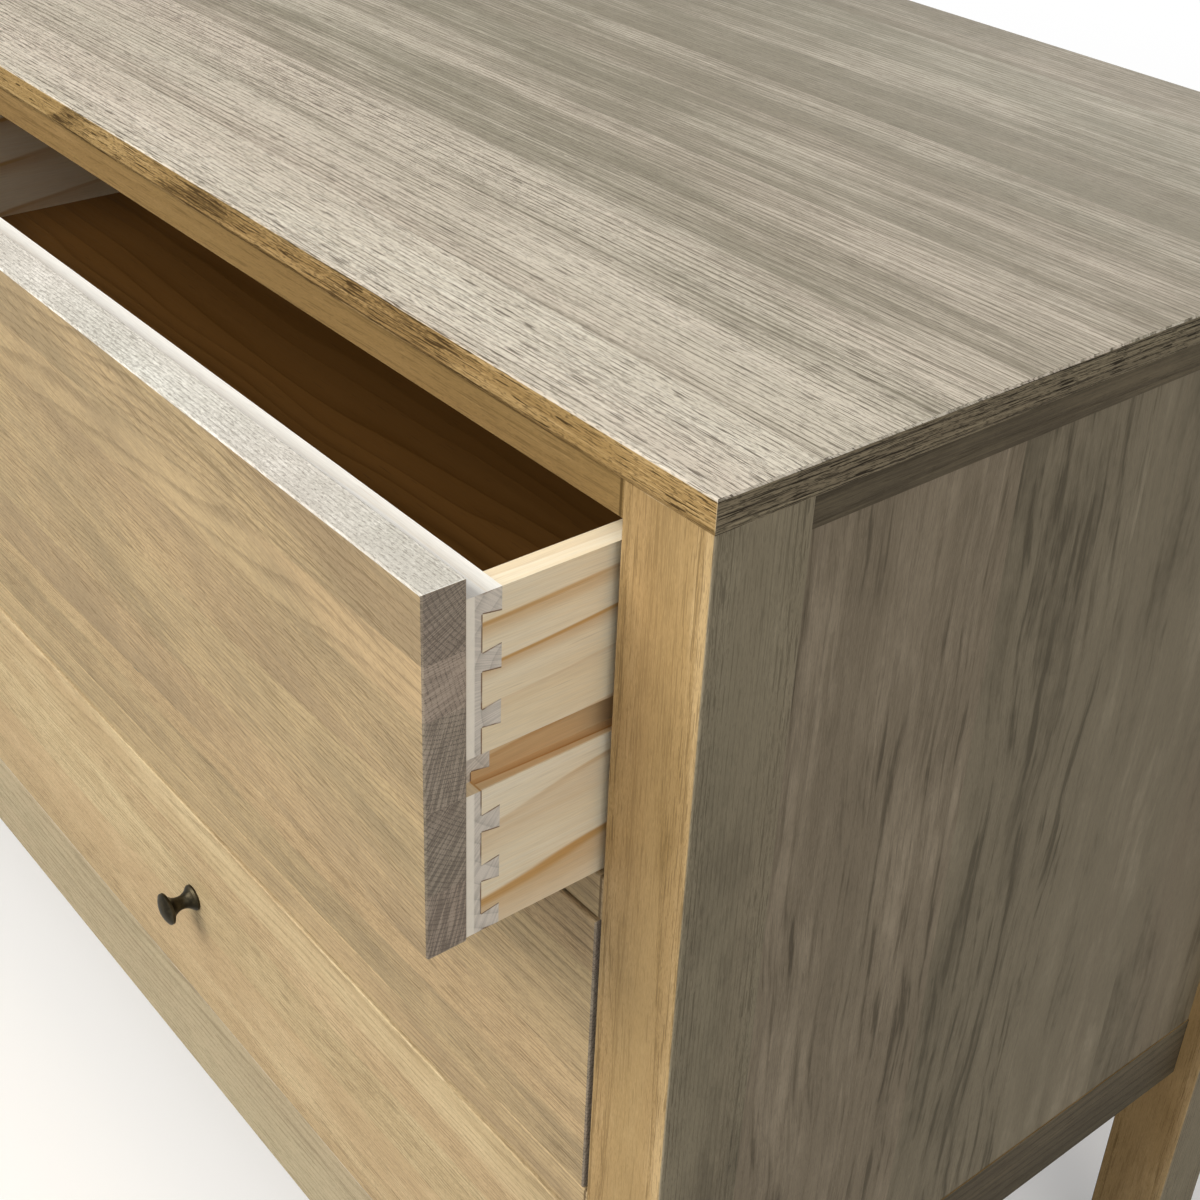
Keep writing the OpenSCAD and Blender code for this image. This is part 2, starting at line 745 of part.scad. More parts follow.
top_panel();
post_front_left();
post_front_right();
post_rear_left();
post_rear_right();
front_top_rail();
front_divider_rails();
front_bottom_rail();
centre_stile();
side_rails();
side_panel_left();
side_panel_right();
centre_partition();
back_rails();
back_panel();
drawer_runners();
carcass_screws();
foot_glides();
for (d = DRAWERS) {
    in_opening(d) drawer_front();
    in_opening(d) box_front();
    in_opening(d) box_sides();
    in_opening(d) box_back();
    in_opening(d) box_bottom();
    in_opening(d) knob();
    in_opening(d) drawer_screws();
}
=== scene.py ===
# Looks of a six-drawer dresser: grey-brown oak, pine drawer boxes and dark bronze knobs.
# Metres, +X to the right, +Y to the back, +Z up, standing on z = 0.
import math
import random
from collections import namedtuple

import bpy
from mathutils import Matrix, Vector


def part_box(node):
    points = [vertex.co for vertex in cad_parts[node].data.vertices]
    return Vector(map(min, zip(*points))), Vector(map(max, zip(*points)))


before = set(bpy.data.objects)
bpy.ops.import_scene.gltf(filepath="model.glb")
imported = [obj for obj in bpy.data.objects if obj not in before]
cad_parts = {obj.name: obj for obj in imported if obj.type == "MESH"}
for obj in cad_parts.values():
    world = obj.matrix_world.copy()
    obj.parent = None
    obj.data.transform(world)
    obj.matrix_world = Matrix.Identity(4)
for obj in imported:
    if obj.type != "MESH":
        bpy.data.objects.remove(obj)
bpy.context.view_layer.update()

ROWS = ("bottom", "middle", "top")
COLUMNS = ("left", "right")
DRAWERS = [f"{row}_{column}" for row in ROWS for column in COLUMNS]

# The camera, as fitted to the photograph: angles in degrees, the frame and the focal length in its pixels
CAMERA_AZIMUTH = 49.58
CAMERA_DOWN = 32.752
CAMERA_ROLL = 2.651
FRAME_PX = 1200
FOCAL_PX = 1832.07
SENSOR_MM = 36.0
CLIP_START = 0.01
# From the top's front right upper corner to the lens
EYE_FROM_CORNER = Vector((0.3579, -0.3514, 0.2829))

# Each area light: where it hangs, what it faces, its width and height, its watts and its colour
LIGHTS = {
    "front_light": ((0.0, -2.4, 2.6), (0.2, 0.0, 0.5), (2.0, 1.6), 100.0, (1.0, 0.96, 0.89)),
    "top_light": ((-0.1, -1.0, 2.2), (0.3, -0.1, 0.76), (1.2, 1.0), 2.0, (0.94, 0.97, 1.0)),
    "side_light": ((3.0, -0.8, 2.3), (0.8, 0.0, 0.6), (2.0, 1.6), 22.0, (1.0, 0.98, 0.94)),
    "rear_light": ((-1.0, 3.2, 2.0), (0.0, 0.3, 0.4), (2.0, 1.6), 30.0, (1.0, 0.98, 0.95)),
}
# The sky's strength as a light, and where the camera or a reflection sees it
SKY_LIGHT = 0.33
SKY_SEEN = 1.0
# Half the floor's side
FLOOR_REACH = 30.0
# The distances between which the floor turns white to the camera, and how white it is at each
FLOOR_WHITENING = (0.9, 3.2, 0.18, 1.0)

WHITE = (1.0, 1.0, 1.0, 1.0)
BLACK = (0.0, 0.0, 0.0, 1.0)

# One board of a glued-up panel. across and deep move the centre of its tree from the panel's own, tone
# lightens it, shift is its place along the tree, blush makes it pinker and figure is how strongly its
# grain shows.
Board = namedtuple("Board", "across deep tone shift blush figure")

# The board edges that show in the top, measured from its front edge, and its boards, whose tones darken
# towards the back: painted shade where the light falls off
TOP_SEAMS = (0.046, 0.129, 0.210, 0.318, 0.366, 0.448)
TOP_BOARDS = (
    Board(0.20, -0.10, 0.0, 1.2, -0.05, 1.15),
    Board(0.24, -0.12, -0.08, 2.9, 0.05, 1.0),
    Board(0.17, -0.09, -0.3, 4.1, 0.03, 0.7),
    Board(0.26, -0.14, -0.38, 5.6, -0.03, 0.6),
    Board(0.22, -0.08, -0.46, 6.3, 0.0, 0.55),
    Board(0.19, -0.11, -0.4, 7.7, -0.05, 0.55),
    Board(0.25, -0.10, -0.44, 8.8, 0.05, 0.55),
)
# The board edges in a side panel, measured from its front edge, and its boards
SIDE_SEAMS = (0.142, 0.231, 0.315)
SIDE_BOARDS = (
    Board(-0.107, -0.035, 0.04, 1.7, 0.25, 1.4),
    Board(0.04, -0.13, -0.04, 3.3, -0.3, 1.2),
    Board(-0.03, -0.05, 0.0, 5.2, -0.2, 0.6),
    Board(0.05, -0.15, -0.05, 7.4, 0.0, 0.5),
)
# The board edges in a drawer front, measured down from its upper edge, and the boards of the top row
FRONT_SEAMS = (0.028, 0.051, 0.090, 0.128)
STAVES = (
    Board(0.01, 0.02, -0.04, 2.2, 0.0, 1.0),
    Board(-0.03, 0.04, 0.12, 3.9, 0.06, 0.8),
    Board(0.03, -0.02, 0.0, 5.1, 0.0, 1.0),
    Board(-0.01, 0.03, 0.06, 6.6, -0.03, 1.0),
    Board(0.02, 0.0, 0.0, 8.3, 0.05, 1.0),
)
# How much lighter each of those boards is on its end grain
STAVE_END_TONES = (-0.04, 0.2, 0.02, -0.14, -0.06)
# How far the boards of the other fronts differ in tone
TONE_SPREAD = 0.12
# Each row's tone, darker higher up: painted shade, the middle row's standing for the open drawer's shadow
ROW_LIGHT_AND_SHADE = {"bottom": 0.08, "middle": -0.22, "top": -0.36}

# How far down from a piece's top its upward faces count as its rim and take the colours painted as lit from
# above
RIM_DEPTH = 0.003
# Half the width of the dark line where two pieces meet, the share of it that is full, and how dark that is
JOINT_WIDTH = 0.001
JOINT_CORE = 0.4
JOINT_DARKNESS = 0.9
# How far from a post's face that line lies on a rail
JOINT_OFFSET = 0.0017
# The dovetails: their count, length, pin height at the back and its loss per metre, end pins and gaps
TAILS = 6
TAIL_LENGTH = 0.008
PIN_HEIGHT = 0.0105
PIN_TAPER = math.tan(math.radians(9.0))
END_PIN = 0.0043
PIN_GAP = 0.0008
# The share of a gap that is full, and the noise that breaks gaps up: its features a metre and its soft step
GAP_CORE = 0.3
GAP_NOISE = 160.0
GAP_BREAKS = (0.3, 0.55, 0.3, 1.0)
# Edges lighter as wear and as a painted highlight on the arris: the features a metre and the detail of the
# noise in them, then how far it moves them and how much of them is full, as shares of their width
WEAR_NOISE = 110.0
WEAR_DETAIL = 3.0
WEAR_DRIFT = 1.4
WEAR_CORE = 0.15
# The painted highlight on a box front's ends, a strip next to the drawer front, and how soft its edge is
END_STRIP = 0.0042
STRIP_BLUR = 0.0007
# How wide the painted highlight on a post's outer front edge is, and how much it lightens the tone
HIGHLIGHT_EDGE_WIDTH = 0.012
HIGHLIGHT_LIFT = 0.4
# Between which shares of a post's half width its lines grow fainter, measured inwards from its edge
LINES_FADE = (0.2, 0.75)
# Over which depth below a box side's face the painted shade in its groove sets in, the deepest that a groove
# lies and the nearest to the side's edges, and the shade's tint, which multiplies the colour
GROOVE_EDGE = (0.0002, 0.0009)
GROOVE_REACH = 0.0085
GROOVE_SHADE_TINT = (0.84, 0.7, 0.53, 1.0)
# The part of a normal along an axis from which a face counts as an end, and as looking that way
END_TURN = (0.6, 0.8)
FACE_TURN = (0.45, 0.75)
# How far a seed moves a piece's figure along, across and through the grain
SEED_SHIFT = (1.37, 0.61, 0.23)
WOOD_SPECULAR = 0.22
# The strength and the depth of the wood's relief
WOOD_RELIEF = (0.35, 0.0004)
# The knobs' worn rims: the radii between which they set in, how far noise moves these, and how far behind
# the knob's face the wear ends
KNOB_RIM = (0.0115, 0.0136)
KNOB_DRIFT = 0.003
KNOB_WEAR = (0.008, 0.002)

# Noise in the wood, by name: how many features a metre holds along, across and through the grain, then
# its detail and, where it isn't 0.5, its roughness
BEND_NOISE = (3.0, 7.0, 7.0)
BEND_DETAIL = 2.0
WANDER_DETAIL = 2.0
RING_NOISE = (90.0, 1.0, 1.0)
OAK_WANDER = (1.6, 11.0, 11.0)
OAK_RIPPLE = (9.0, 75.0, 75.0)
OAK_NOISES = {
    "crowd": ((3.0, 40.0, 40.0), 2.0),
    "vessels": ((66.0, 2000.0, 2000.0), 0.0),
    "fine": ((380.0, 2900.0, 2900.0), 0.0),
    "streak": ((10.0, 1100.0, 1100.0), 3.0, 0.75),
    "fibre": ((240.0, 3800.0, 3800.0), 1.0),
    "band": ((0.8, 19.0, 19.0), 2.0),
    "stripe": ((4.6, 95.0, 95.0), 3.0, 0.55),
    "cloud": ((7.0, 18.0, 18.0), 5.0, 0.74),
    "fleck": ((12.0, 185.0, 185.0), 3.0, 0.6),
    "cluster": ((3.0, 16.0, 16.0), 2.0),
    "hue": ((2.0, 17.0, 17.0), 2.0),
}
FLECK_CURL = ((11.0, 22.0, 22.0), 0.005)
PINE_WANDER = (2.2, 12.0, 12.0)
PINE_RIPPLE = (9.0, 60.0, 60.0)
PINE_NOISES = {
    "strength": ((1.5, 30.0, 30.0), 1.0),
    "streak": ((7.0, 420.0, 420.0), 2.0),
    "fibre": ((90.0, 2600.0, 2600.0), 1.0),
    "band": ((1.2, 24.0, 24.0), 2.0),
    "ducts": ((50.0, 1500.0, 1500.0), 0.0),
}
# Soft steps in the wood, by name: between which values a step lies and, where it isn't from 0 to 1, from
# which value to which it leads
OAK_STEPS = {
    "early_end": (0.46, 0.08), "early_start": (0.0, 0.06), "vessels": (0.785, 0.83), "fine": (0.7, 0.8),
    "fleck": (0.47, 0.7), "cluster": (0.3, 0.56, 0.15, 1.0), "dark": (0.0, 0.5), "light": (0.5, 1.0),
    "ray": (0.68, 0.78, 0.0, 0.16), "ray_on_end": (0.4, 0.62, 0.28, 0.84),
    "vessels_on_end": (0.0, 1.0, 0.2, -0.2), "fibre": (0.25, 0.75, 0.92, 1.08), "hue": (0.3, 0.7),
    "roughness": (0.2, 0.8, 0.52, 0.64),
}
PINE_STEPS = {
    "late_start": (0.46, 0.92), "late_end": (1.0, 0.95), "late_edge": (0.86, 0.92, 0.62, 1.0),
    "strength": (0.36, 0.62, 0.25, 1.0), "ducts": (0.74, 0.84), "ray_on_end": (0.4, 0.62, 0.65, 1.0),
    "fibre": (0.25, 0.75, 0.95, 1.05), "roughness": (0.2, 0.8, 0.52, 0.64),
}
# How much each part of the figure counts
OAK_SHARES = {
    "early_pores": 0.14, "crowd": 0.24, "fine": 0.55, "band": 1.3, "streak": 2.0, "early_streak": 0.3,
    "middle_tone": 0.56, "end_dark": 0.62, "end_early": -0.24, "end_cloud": 0.5, "end_board": 0.5,
    "pore_roughness": 0.25, "wear_roughness": 0.12, "fibre_height": 0.12, "streak_height": 0.25,
}
PINE_SHARES = {
    "band": 1.2, "streak": 0.8, "middle_tone": 0.6, "end_dark": 0.5, "end_late": -0.35,
    "late_roughness": -0.08, "fibre_height": 0.3, "late_height": 0.35,
}
# How far the rings ripple, as a share of their pitch, and how uneven they are
OAK_UNEVEN = (0.24, 1.1)
PINE_UNEVEN = (0.1, 0.4)
# Rays for each radian round the pith, each metre out from it and each metre along the grain
OAK_RAYS = (190.0, 60.0, 70.0)
PINE_RAYS = (70.0, 40.0)
# The greenish and the pinkish tint between which the oak drifts
GREENISH = (0.98, 0.99, 0.965, 1.0)
PINKISH = (1.0, 0.972, 0.955, 1.0)


def palette(*colours):
    """A timber's colours: light, middle and dark wood, pores, end grain, and edges lighter as wear and
    painted highlight.
    """
    return dict(zip(("Light", "Middle", "Dark", "Pore", "End", "Worn and highlight"), colours))


# Lighter and cooler, the oak that looks up: painted light from above
TOP_OAK = palette("#dbd4c8", "#c4bbad", "#807968", "#564d42", "#a49a8c", "#ece5d8")
# Near white: a painted highlight on the upper edges of the top row's fronts
RIM_HIGHLIGHT_OAK = palette("#f7f7f4", "#eceae5", "#c6c3bc", "#6a6258", "#a49a8c", "#f6f5f0")
FRONT_OAK = palette("#c4a97d", "#ab8f63", "#8a7046", "#54401f", "#a08f78", "#dcc9a6")
DRAWER_OAK = palette("#d3bf99", "#bda681", "#9a886b", "#66543a", "#a49a8c", "#e2d4b8")
EDGE_OAK = palette("#c0a474", "#9c8052", "#705830", "#4a3719", "#a08f78", "#dcc9a6")
APRON_OAK = palette("#d0c4a8", "#b9ab8e", "#988b70", "#66573d", "#a08f78", "#e2d4b8")
# Darker and greyer, the oak on the sides: painted shade, deepest under the top's overhang
SIDE_OAK = palette("#a19680", "#8a806b", "#685f4e", "#3f372b", "#b9ab9d", "#b3a68f")
PANEL_OAK = palette("#a19581", "#867b68", "#605747", "#3f362b", "#aea395", "#b3a68f")
SHADE_OAK = palette("#998e75", "#7a6f5a", "#52493a", "#30291e", "#aea395", "#a0937c")
BOX_PINE = palette("#f5ebd5", "#ecd7b0", "#cda268", "#7d6044", "#e2dad0", "#fdf6e8")
SIDE_RIM_PINE = palette("#f6efdc", "#e8d1a6", "#cba267", "#a87c4c", "#e2dad0", "#fbf3e2")
# Near white: a painted highlight on the upper edges of the pine pieces
RIM_HIGHLIGHT_PINE = palette("#f8f7f3", "#f5f3ed", "#ece4d6", "#cfa878", "#e6deda", "#fcfaf4")
BACK_PLYWOOD = palette("#a27f52", "#8d6a40", "#7c5b36", "#4a3520", "#8b7150", "#b39468")
# Dark brown: painted shade inside the drawers
SHADED_PLYWOOD = palette("#765227", "#6a471d", "#624119", "#3a2812", "#7d6340", "#957748")
RUNNER_WOOD = palette("#c9ab7a", "#b69463", "#93744a", "#5f492c", "#8b7350", "#d3bb90")

# Lit and shaded copies of one oak: a piece takes its colours from the axis that each of its faces looks
# along, so light and shade are painted in, lighter and cooler looking up, golden in front, darker and greyer
# on the sides
CARCASS_OAK = dict(X=SIDE_OAK, Y=FRONT_OAK, Z=TOP_OAK)
TOP_FACES = dict(X=SHADE_OAK, Y=EDGE_OAK, Z=TOP_OAK)
APRON_FACES = dict(X=SIDE_OAK, Y=APRON_OAK, Z=TOP_OAK)
SIDE_RAIL_FACES = dict(X=SHADE_OAK, Y=FRONT_OAK, Z=TOP_OAK)
DRAWER_FACES = dict(X=SIDE_OAK, Y=DRAWER_OAK, Z=DRAWER_OAK)
# The upper faces of these fronts take the painted highlight
RIM_HIGHLIGHT_FACES = dict(X=SIDE_OAK, Y=DRAWER_OAK, Z=RIM_HIGHLIGHT_OAK)
BOX_FACES = dict(X=BOX_PINE, Y=BOX_PINE, Z=RIM_HIGHLIGHT_PINE)
BOX_SIDE_FACES = dict(X=BOX_PINE, Y=BOX_PINE, Z=SIDE_RIM_PINE)
PLAIN_PANEL = dict.fromkeys("XYZ", PANEL_OAK)
PLAIN_BACK = dict.fromkeys("XYZ", BACK_PLYWOOD)
PLAIN_SHADED_PLYWOOD = dict.fromkeys("XYZ", SHADED_PLYWOOD)
PLAIN_RUNNER = dict.fromkeys("XYZ", RUNNER_WOOD)

# The drawer fronts of the top row, with the boards that the open one shows and a painted highlight on their
# upper edges, and those of the other rows
TOP_ROW = dict(faces=RIM_HIGHLIGHT_FACES, boards=STAVES, end_tones=STAVE_END_TONES, worn=0.6, stripe=0.32, lean=0.18)
OTHER_ROWS = dict(faces=DRAWER_FACES, worn=0.25, stripe=0.6, lean=0.04)


def rgb(text):
    """A colour written as #rrggbb, in linear light with an alpha of 1."""
    parts = [int(text[i:i + 2], 16) / 255 for i in (1, 3, 5)]
    return tuple(p / 12.92 if p <= 0.04045 else ((p + 0.055) / 1.055) ** 2.4 for p in parts) + (1.0,)


def even(features):
    """The stretch of a noise with so many features a metre along each axis."""
    return (features,) * 3


class Graph:
    """Short calls that add nodes to one tree. A value is a number, a tuple or another node's socket."""

    def __init__(self, tree):
        self.tree = tree

    def put(self, socket, value):
        if isinstance(value, bpy.types.NodeSocket):
            self.tree.links.new(value, socket)
        else:
            socket.default_value = value

    def add(self, kind, inputs=(), **settings):
        node = self.tree.nodes.new("ShaderNode" + kind)
        for name, value in settings.items():
            setattr(node, name, value)
        for name, value in dict(inputs).items():
            self.put(node.inputs[name], value)
        return node

    def math(self, operation, *values, clamp=False):
        node = self.add("Math", operation=operation, use_clamp=clamp)
        for socket, value in zip(node.inputs, values):
            self.put(socket, value)
        return node.outputs[0]

    def vector(self, operation, *values):
        node = self.add("VectorMath", operation=operation)
        for socket, value in zip(node.inputs, values):
            self.put(socket, value)
        return node.outputs[0]

    def join(self, x, y, z):
        return self.add("CombineXYZ", {0: x, 1: y, 2: z}).outputs[0]

    def split(self, vector):
        return self.add("SeparateXYZ", {0: vector}).outputs

    def noise(self, vector, stretch, detail=1.0, roughness=0.5):
        """Noise from 0 to 1 whose features are about 1 / stretch metres along each axis."""
        place = self.vector("MULTIPLY", vector, stretch)
        return self.add("TexNoise", {
            "Vector": place, "Scale": 1.0, "Detail": detail, "Roughness": roughness,
        }).outputs["Fac"]

    def centred(self, value, amount):
        """A value from 0 to 1, less a half, times the amount."""
        return self.math("MULTIPLY", self.math("SUBTRACT", value, 0.5), amount)

    def swing(self, vector, stretch, amount, detail=1.0):
        """Noise from about -amount to amount."""
        return self.centred(self.noise(vector, stretch, detail), 2 * amount)

    def smooth(self, value, low, high, to_low=0.0, to_high=1.0):
        node = self.add("MapRange", interpolation_type="SMOOTHSTEP")
        for socket, number in zip(node.inputs, (value, low, high, to_low, to_high)):
            self.put(socket, number)
        return node.outputs[0]

    def mix(self, share, first, second, blend="MIX"):
        """Blends two colours."""
        node = self.add("Mix", data_type="RGBA", blend_type=blend)
        self.put(node.inputs[0], share)
        self.put(node.inputs[6], first)
        self.put(node.inputs[7], second)
        return node.outputs[2]


def new_group(name, inputs, outputs):
    """A node group with its sockets: its graph, what comes in by name, and its output node."""
    tree = bpy.data.node_groups.new(name, "ShaderNodeTree")
    for direction, sockets in (("INPUT", inputs), ("OUTPUT", outputs)):
        for label, kind in sockets.items():
            tree.interface.new_socket(label, in_out=direction, socket_type="NodeSocket" + kind)
    g = Graph(tree)
    return g, tree.nodes.new("NodeGroupInput").outputs, tree.nodes.new("NodeGroupOutput").inputs


def ring_phase(g, given, wander_noise, ripple_noise, ripple, unevenness):
    """Where in a growth ring a point lies, from 0 to 1, its distance from the pith and its angle round it.

    Slow and quick drift along the board bends the rings.
    """
    along, across, deep = g.split(given["Grain"])
    side = g.math("SUBTRACT", across, given["Pith across"])
    depth = g.math("SUBTRACT", deep, given["Pith deep"])
    radius = g.math("SQRT", g.math("ADD", g.math("MULTIPLY", side, side), g.math("MULTIPLY", depth, depth)))
    wander = g.math("MULTIPLY", g.swing(given["Moved"], wander_noise, 1.0, WANDER_DETAIL), given["Wander"])
    radius = g.math("ADD", radius, g.math("MULTIPLY", along, given["Slope"]))
    radius = g.math("ADD", radius, wander)
    phase = g.math("DIVIDE", radius, given["Pitch"])
    phase = g.math("ADD", phase, g.swing(given["Moved"], ripple_noise, ripple))
    uneven = g.swing(g.join(radius, given["Seed"], 0.0), RING_NOISE, unevenness)
    return g.math("FRACT", g.math("ADD", phase, uneven)), radius, g.math("ARCTAN2", side, depth)


# What both wood figures are given. Pine makes no use of the stripe, blush, mottle, flecks and end tone.
FIGURE_INPUTS = {
    "Grain": "Vector", "Moved": "Vector", "Seed": "Float", "Pith across": "Float", "Pith deep": "Float",
    "Slope": "Float", "Wander": "Float", "Pitch": "Float", "Tone": "Float", "End": "Float", "Wear and highlight": "Float",
    "Light": "Color", "Middle": "Color", "Dark": "Color", "Pore": "Color", "End colour": "Color",
    "Worn and highlight": "Color", "Contrast": "Float", "Seam": "Float", "Stripe": "Float", "Blush": "Float",
    "Mottle": "Float", "Flecks": "Float", "End tone": "Float",
}
FIGURE_OUTPUTS = {"Color": "Color", "Roughness": "Float", "Height": "Float"}


def finish_colour(g, given, colour, end_tone, end_dark, fibre, tint=None):
    """Adds the end grain, the fibre's shade, a tint, the edges lighter as wear and painted highlight, and the
    seams to a wood colour.
    """
    end = g.mix(end_tone, g.mix(end_dark, given["End colour"], BLACK), given["End colour"])
    colour = g.mix(given["End"], colour, end)
    colour = g.mix(1.0, colour, g.join(fibre, fibre, fibre), "MULTIPLY")
    if tint:
        colour = g.mix(1.0, colour, tint, "MULTIPLY")
    colour = g.mix(given["Wear and highlight"], colour, given["Worn and highlight"])
    return g.mix(given["Seam"], colour, given["Pore"])


def oak_group():
    """Ring-porous oak: dark pores crowd in the early wood of each ring, with rays, fibre and slow bands."""
    g, given, out = new_group("oak_figure", FIGURE_INPUTS, FIGURE_OUTPUTS)
    moved, share = given["Moved"], OAK_SHARES

    def noise(name, place=moved):
        return g.noise(place, *OAK_NOISES[name])

    def step(name, value):
        return g.smooth(value, *OAK_STEPS[name])

    phase, radius, angle = ring_phase(g, given, OAK_WANDER, OAK_RIPPLE, *OAK_UNEVEN)
    early = g.math("MULTIPLY", step("early_end", phase), step("early_start", phase))
    gate = g.math("ADD", g.math("MULTIPLY", early, share["early_pores"]),
                  g.math("MULTIPLY", noise("crowd"), share["crowd"]))
    # Vessels, seen as thin broken dashes along the grain and as dots on the ends
    vessels = step("vessels", g.math("ADD", noise("vessels"), gate))
    fine = step("fine", g.math("ADD", noise("fine"), gate))
    pores = g.math("MAXIMUM", vessels, g.math("MULTIPLY", fine, share["fine"]))
    pores = g.math("MULTIPLY", pores, given["Contrast"])
    streak, fibre, cloud = noise("streak"), noise("fibre"), noise("cloud")
    bands = g.math("ADD", g.centred(noise("band"), share["band"]), g.math("SUBTRACT", noise("stripe"), 0.5))
    tone = g.math("ADD", given["Tone"], g.math("MULTIPLY", bands, given["Stripe"]))
    tone = g.math("ADD", tone, g.centred(cloud, given["Mottle"]))
    streaks = g.math("SUBTRACT", g.centred(streak, share["streak"]),
                     g.math("MULTIPLY", early, share["early_streak"]))
    tone = g.math("ADD", tone, g.math("MULTIPLY", streaks, given["Contrast"]))
    # Short dark flecks in loose clusters, which the side panels show
    curled = g.vector("ADD", moved, g.join(0.0, g.swing(moved, *FLECK_CURL), 0.0))
    fleck = g.math("MULTIPLY", step("fleck", noise("fleck", curled)), step("cluster", noise("cluster")))
    tone = g.math("SUBTRACT", tone, g.math("MULTIPLY", fleck, given["Flecks"]))
    tone = g.math("ADD", tone, share["middle_tone"], clamp=True)
    colour = g.mix(step("dark", tone), given["Dark"], given["Middle"])
    colour = g.mix(step("light", tone), colour, given["Light"])
    # Rays: short dark spindles on the faces and bright lines across the rings on the ends
    along = g.split(moved)[0]
    rays = [g.math("MULTIPLY", value, count) for value, count in zip((angle, radius, along), OAK_RAYS)]
    ray = g.noise(g.join(*rays), even(1.0))
    colour = g.mix(step("ray", ray), colour, given["Pore"])
    colour = g.mix(pores, colour, given["Pore"])
    end_tone = g.math("ADD", step("ray_on_end", ray), g.math("MULTIPLY", early, share["end_early"]))
    end_tone = g.math("ADD", end_tone, step("vessels_on_end", vessels))
    end_tone = g.math("ADD", end_tone, g.centred(cloud, share["end_cloud"]))
    end_tone = g.math("ADD", end_tone, given["End tone"])
    end_tone = g.math("ADD", end_tone, g.math("MULTIPLY", given["Tone"], share["end_board"]), clamp=True)
    # A slow drift between a pinkish and a greenish brown
    hue = step("hue", g.math("ADD", noise("hue"), given["Blush"]))
    g.put(out["Color"], finish_colour(g, given, colour, end_tone, share["end_dark"], step("fibre", fibre),
                                      g.mix(hue, GREENISH, PINKISH)))
    rough = g.math("ADD", step("roughness", streak), g.math("MULTIPLY", pores, share["pore_roughness"]))
    g.put(out["Roughness"], g.math("SUBTRACT", rough,
                                   g.math("MULTIPLY", given["Wear and highlight"], share["wear_roughness"])))
    height = g.math("SUBTRACT", g.math("MULTIPLY", fibre, share["fibre_height"]),
                    g.math("ADD", pores, given["Seam"]))
    g.put(out["Height"], g.math("ADD", height, g.math("MULTIPLY", streak, share["streak_height"])))
    return g.tree


def pine_group():
    """Planed pine: cream wood whose rings darken to a soft orange stripe, fine fibre, a few resin ducts."""
    g, given, out = new_group("pine_figure", FIGURE_INPUTS, FIGURE_OUTPUTS)
    share = PINE_SHARES

    def noise(name):
        return g.noise(given["Moved"], *PINE_NOISES[name])

    def step(name, value):
        return g.smooth(value, *PINE_STEPS[name])

    phase, radius, angle = ring_phase(g, given, PINE_WANDER, PINE_RIPPLE, *PINE_UNEVEN)
    late = g.math("MULTIPLY", step("late_start", phase), step("late_end", phase))
    late = g.math("MULTIPLY", late, step("late_edge", phase))
    streak, fibre = noise("streak"), noise("fibre")
    tone = g.math("ADD", given["Tone"], g.centred(noise("band"), share["band"]))
    tone = g.math("ADD", tone, g.centred(streak, share["streak"]))
    tone = g.math("ADD", tone, share["middle_tone"], clamp=True)
    colour = g.mix(tone, given["Middle"], given["Light"])
    colour = g.mix(g.math("MULTIPLY", late, step("strength", noise("strength"))), colour, given["Dark"])
    ducts = g.math("MULTIPLY", step("ducts", noise("ducts")), given["Contrast"])
    colour = g.mix(ducts, colour, given["Pore"])
    rays = [g.math("MULTIPLY", value, count) for value, count in zip((angle, radius), PINE_RAYS)]
    ray = g.noise(g.join(*rays, 0.0), even(1.0))
    end_tone = g.math("ADD", step("ray_on_end", ray), g.math("MULTIPLY", late, share["end_late"]), clamp=True)
    g.put(out["Color"], finish_colour(g, given, colour, end_tone, share["end_dark"], step("fibre", fibre)))
    g.put(out["Roughness"], g.math("ADD", step("roughness", streak),
                                   g.math("MULTIPLY", late, share["late_roughness"])))
    g.put(out["Height"], g.math("ADD", g.math("MULTIPLY", fibre, share["fibre_height"]),
                                g.math("MULTIPLY", late, share["late_height"])))
    return g.tree


OAK = oak_group()
PINE = pine_group()


def new_material(name):
    """An empty material: its graph and its Principled shader, which is on the output."""
    material = bpy.data.materials.new(name)
    material.use_nodes = True
    material.node_tree.nodes.clear()
    g = Graph(material.node_tree)
    shader = g.add("BsdfPrincipled")
    g.tree.links.new(shader.outputs[0], g.add("OutputMaterial").inputs["Surface"])
    return material, g, shader


def emboss(g, shader, height, strength, distance=0.0002):
    """Gives a shader a fine relief. distance is how deep a height of 1 is, in metres."""
    bump = g.add("Bump", {"Strength": strength, "Distance": distance, "Height": height})
    g.put(shader.inputs["Normal"], bump.outputs[0])


def dress(node, material):
    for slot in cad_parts[node].material_slots:
        slot.material = material


